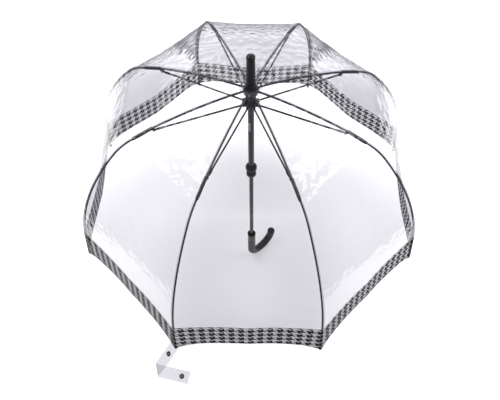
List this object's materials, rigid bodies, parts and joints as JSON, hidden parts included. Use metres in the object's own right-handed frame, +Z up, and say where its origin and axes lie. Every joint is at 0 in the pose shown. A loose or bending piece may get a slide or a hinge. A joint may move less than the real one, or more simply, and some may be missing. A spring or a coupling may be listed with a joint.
{
  "type": "stick umbrella",
  "caption": "Clear dome stick umbrella with a printed hem band, long sliding runner and crook handle, modelled open and folding by its runner.",
  "frame": {"origin": "middle of the straight grip, on the shaft's axis", "axes": "+Z up the shaft towards the ferrule, +X to the right and -Y towards the viewer; the crook points 45 degrees between +X and +Y"},
  "size_m": [0.826, 0.9089, 0.8999],
  "materials": {
    "shaft": "black enamelled steel tube",
    "channel": "black enamelled folded steel channel",
    "rod": "black resin-bound glass fibre rod with a moulded tip",
    "connector": "black moulded nylon",
    "hub": "black moulded plastic, satin",
    "sleeve": "black moulded sleeve, satin gloss",
    "ferrule": "black moulded plastic, gloss",
    "grip": "black moulded crook handle, satin gloss",
    "wire": "bright spring wire",
    "film": "clear vinyl film with a black houndstooth check printed round the hem",
    "snap": "dark plated snap fasteners"
  },
  "bodies": {
    "frame": {"shaft": "shaft", "crown": "hub", "crown_ring": "wire", "rosette": "film", "ferrule": "ferrule", "ferrule_cap": "ferrule", "handle": "grip", "handle_end": "grip", "handle_collar": "hub"},
    "top_catch": {"catch_top": "wire"},
    "low_catch": {"catch_low": "wire"},
    "runner": {"runner_hub": "hub", "runner_sleeve": "sleeve", "runner_knob": "hub", "runner_ring": "hub"},
    "rib_body_1": {"rib_1": "channel", "connector_1": "connector"},
    "rod_body_1": {"rod_1": "rod", "canopy_1": "film"},
    "stretcher_body_1": {"stretcher_1": "channel"},
    "rib_body_2": {"rib_2": "channel", "connector_2": "connector"},
    "rod_body_2": {"rod_2": "rod", "canopy_2": "film"},
    "stretcher_body_2": {"stretcher_2": "channel"},
    "rib_body_3": {"rib_3": "channel", "connector_3": "connector"},
    "rod_body_3": {"rod_3": "rod", "canopy_3": "film"},
    "stretcher_body_3": {"stretcher_3": "channel"},
    "rib_body_4": {"rib_4": "channel", "connector_4": "connector"},
    "rod_body_4": {"rod_4": "rod", "canopy_4": "film"},
    "stretcher_body_4": {"stretcher_4": "channel"},
    "rib_body_5": {"rib_5": "channel", "connector_5": "connector"},
    "rod_body_5": {"rod_5": "rod", "canopy_5": "film"},
    "stretcher_body_5": {"stretcher_5": "channel"},
    "rib_body_6": {"rib_6": "channel", "connector_6": "connector"},
    "rod_body_6": {"rod_6": "rod", "canopy_6": "film", "tie_strap": "film", "strap_snaps": "snap"},
    "stretcher_body_6": {"stretcher_6": "channel"},
    "rib_body_7": {"rib_7": "channel", "connector_7": "connector"},
    "rod_body_7": {"rod_7": "rod", "canopy_7": "film"},
    "stretcher_body_7": {"stretcher_7": "channel"},
    "rib_body_8": {"rib_8": "channel", "connector_8": "connector"},
    "rod_body_8": {"rod_8": "rod", "canopy_8": "film"},
    "stretcher_body_8": {"stretcher_8": "channel"}
  },
  "joints": [
    {"name": "runner_slide", "type": "slide", "parent": "frame", "child": "runner", "axis": [0, 0, -1], "range_m": [0, 0.32], "deforming": ["canopy_1", "canopy_2", "canopy_3", "canopy_4", "canopy_5", "canopy_6", "canopy_7", "canopy_8", "tie_strap", "strap_snaps", "catch_top", "catch_low"]},
    {"name": "catch_top_press", "type": "slide", "parent": "frame", "child": "top_catch", "axis": [0, -1, 0], "range_m": [0, 0.0024], "stiffness_N_per_m": 600, "springref_m": -0.0005},
    {"name": "catch_low_press", "type": "slide", "parent": "frame", "child": "low_catch", "axis": [0, -1, 0], "range_m": [0, 0.0024], "stiffness_N_per_m": 600, "springref_m": -0.0005},
    {"name": "rib_1_fold", "type": "hinge", "parent": "frame", "child": "rib_body_1", "pos_m": [0.01109, 0.00459, 0.72], "axis": [-0.3827, 0.9239, 0], "range_deg": [0, 54.58]},
    {"name": "rod_1_flex", "type": "hinge", "parent": "rib_body_1", "child": "rod_body_1", "pos_m": [0.2368, 0.09809, 0.67465], "axis": [0.3827, -0.9239, 0], "range_deg": [0, 19.31]},
    {"name": "stretcher_1_fold", "type": "hinge", "parent": "rib_body_1", "child": "stretcher_body_1", "pos_m": [0.19379, 0.08027, 0.68415], "axis": [0.3827, -0.9239, 0], "range_deg": [0, 117.34]},
    {"name": "rib_2_fold", "type": "hinge", "parent": "frame", "child": "rib_body_2", "pos_m": [0.00459, 0.01109, 0.72], "axis": [-0.9239, 0.3827, 0], "range_deg": [0, 54.58]},
    {"name": "rod_2_flex", "type": "hinge", "parent": "rib_body_2", "child": "rod_body_2", "pos_m": [0.09809, 0.2368, 0.67465], "axis": [0.9239, -0.3827, 0], "range_deg": [0, 19.31]},
    {"name": "stretcher_2_fold", "type": "hinge", "parent": "rib_body_2", "child": "stretcher_body_2", "pos_m": [0.08027, 0.19379, 0.68415], "axis": [0.9239, -0.3827, 0], "range_deg": [0, 117.34]},
    {"name": "rib_3_fold", "type": "hinge", "parent": "frame", "child": "rib_body_3", "pos_m": [-0.00459, 0.01109, 0.72], "axis": [-0.9239, -0.3827, 0], "range_deg": [0, 54.58]},
    {"name": "rod_3_flex", "type": "hinge", "parent": "rib_body_3", "child": "rod_body_3", "pos_m": [-0.09809, 0.2368, 0.67465], "axis": [0.9239, 0.3827, 0], "range_deg": [0, 19.31]},
    {"name": "stretcher_3_fold", "type": "hinge", "parent": "rib_body_3", "child": "stretcher_body_3", "pos_m": [-0.08027, 0.19379, 0.68415], "axis": [0.9239, 0.3827, 0], "range_deg": [0, 117.34]},
    {"name": "rib_4_fold", "type": "hinge", "parent": "frame", "child": "rib_body_4", "pos_m": [-0.01109, 0.00459, 0.72], "axis": [-0.3827, -0.9239, 0], "range_deg": [0, 54.58]},
    {"name": "rod_4_flex", "type": "hinge", "parent": "rib_body_4", "child": "rod_body_4", "pos_m": [-0.2368, 0.09809, 0.67465], "axis": [0.3827, 0.9239, 0], "range_deg": [0, 19.31]},
    {"name": "stretcher_4_fold", "type": "hinge", "parent": "rib_body_4", "child": "stretcher_body_4", "pos_m": [-0.19379, 0.08027, 0.68415], "axis": [0.3827, 0.9239, 0], "range_deg": [0, 117.34]},
    {"name": "rib_5_fold", "type": "hinge", "parent": "frame", "child": "rib_body_5", "pos_m": [-0.01109, -0.00459, 0.72], "axis": [0.3827, -0.9239, 0], "range_deg": [0, 54.58]},
    {"name": "rod_5_flex", "type": "hinge", "parent": "rib_body_5", "child": "rod_body_5", "pos_m": [-0.2368, -0.09809, 0.67465], "axis": [-0.3827, 0.9239, 0], "range_deg": [0, 19.31]},
    {"name": "stretcher_5_fold", "type": "hinge", "parent": "rib_body_5", "child": "stretcher_body_5", "pos_m": [-0.19379, -0.08027, 0.68415], "axis": [-0.3827, 0.9239, 0], "range_deg": [0, 117.34]},
    {"name": "rib_6_fold", "type": "hinge", "parent": "frame", "child": "rib_body_6", "pos_m": [-0.00459, -0.01109, 0.72], "axis": [0.9239, -0.3827, 0], "range_deg": [0, 54.58]},
    {"name": "rod_6_flex", "type": "hinge", "parent": "rib_body_6", "child": "rod_body_6", "pos_m": [-0.09809, -0.2368, 0.67465], "axis": [-0.9239, 0.3827, 0], "range_deg": [0, 19.31]},
    {"name": "stretcher_6_fold", "type": "hinge", "parent": "rib_body_6", "child": "stretcher_body_6", "pos_m": [-0.08027, -0.19379, 0.68415], "axis": [-0.9239, 0.3827, 0], "range_deg": [0, 117.34]},
    {"name": "rib_7_fold", "type": "hinge", "parent": "frame", "child": "rib_body_7", "pos_m": [0.00459, -0.01109, 0.72], "axis": [0.9239, 0.3827, 0], "range_deg": [0, 54.58]},
    {"name": "rod_7_flex", "type": "hinge", "parent": "rib_body_7", "child": "rod_body_7", "pos_m": [0.09809, -0.2368, 0.67465], "axis": [-0.9239, -0.3827, 0], "range_deg": [0, 19.31]},
    {"name": "stretcher_7_fold", "type": "hinge", "parent": "rib_body_7", "child": "stretcher_body_7", "pos_m": [0.08027, -0.19379, 0.68415], "axis": [-0.9239, -0.3827, 0], "range_deg": [0, 117.34]},
    {"name": "rib_8_fold", "type": "hinge", "parent": "frame", "child": "rib_body_8", "pos_m": [0.01109, -0.00459, 0.72], "axis": [0.3827, 0.9239, 0], "range_deg": [0, 54.58]},
    {"name": "rod_8_flex", "type": "hinge", "parent": "rib_body_8", "child": "rod_body_8", "pos_m": [0.2368, -0.09809, 0.67465], "axis": [-0.3827, -0.9239, 0], "range_deg": [0, 19.31]},
    {"name": "stretcher_8_fold", "type": "hinge", "parent": "rib_body_8", "child": "stretcher_body_8", "pos_m": [0.19379, -0.08027, 0.68415], "axis": [-0.3827, -0.9239, 0], "range_deg": [0, 117.34]}
  ],
  "couplings": [
    {"joint": "rib_1_fold", "follows": "runner_slide", "rad_per_m": 2.9768},
    {"joint": "rod_1_flex", "follows": "runner_slide", "rad_per_m": 1.0529},
    {"joint": "stretcher_1_fold", "follows": "runner_slide", "rad_per_m": 6.3998},
    {"joint": "rib_2_fold", "follows": "runner_slide", "rad_per_m": 2.9768},
    {"joint": "rod_2_flex", "follows": "runner_slide", "rad_per_m": 1.0529},
    {"joint": "stretcher_2_fold", "follows": "runner_slide", "rad_per_m": 6.3998},
    {"joint": "rib_3_fold", "follows": "runner_slide", "rad_per_m": 2.9768},
    {"joint": "rod_3_flex", "follows": "runner_slide", "rad_per_m": 1.0529},
    {"joint": "stretcher_3_fold", "follows": "runner_slide", "rad_per_m": 6.3998},
    {"joint": "rib_4_fold", "follows": "runner_slide", "rad_per_m": 2.9768},
    {"joint": "rod_4_flex", "follows": "runner_slide", "rad_per_m": 1.0529},
    {"joint": "stretcher_4_fold", "follows": "runner_slide", "rad_per_m": 6.3998},
    {"joint": "rib_5_fold", "follows": "runner_slide", "rad_per_m": 2.9768},
    {"joint": "rod_5_flex", "follows": "runner_slide", "rad_per_m": 1.0529},
    {"joint": "stretcher_5_fold", "follows": "runner_slide", "rad_per_m": 6.3998},
    {"joint": "rib_6_fold", "follows": "runner_slide", "rad_per_m": 2.9768},
    {"joint": "rod_6_flex", "follows": "runner_slide", "rad_per_m": 1.0529},
    {"joint": "stretcher_6_fold", "follows": "runner_slide", "rad_per_m": 6.3998},
    {"joint": "rib_7_fold", "follows": "runner_slide", "rad_per_m": 2.9768},
    {"joint": "rod_7_flex", "follows": "runner_slide", "rad_per_m": 1.0529},
    {"joint": "stretcher_7_fold", "follows": "runner_slide", "rad_per_m": 6.3998},
    {"joint": "rib_8_fold", "follows": "runner_slide", "rad_per_m": 2.9768},
    {"joint": "rod_8_flex", "follows": "runner_slide", "rad_per_m": 1.0529},
    {"joint": "stretcher_8_fold", "follows": "runner_slide", "rad_per_m": 6.3998}
  ]
}
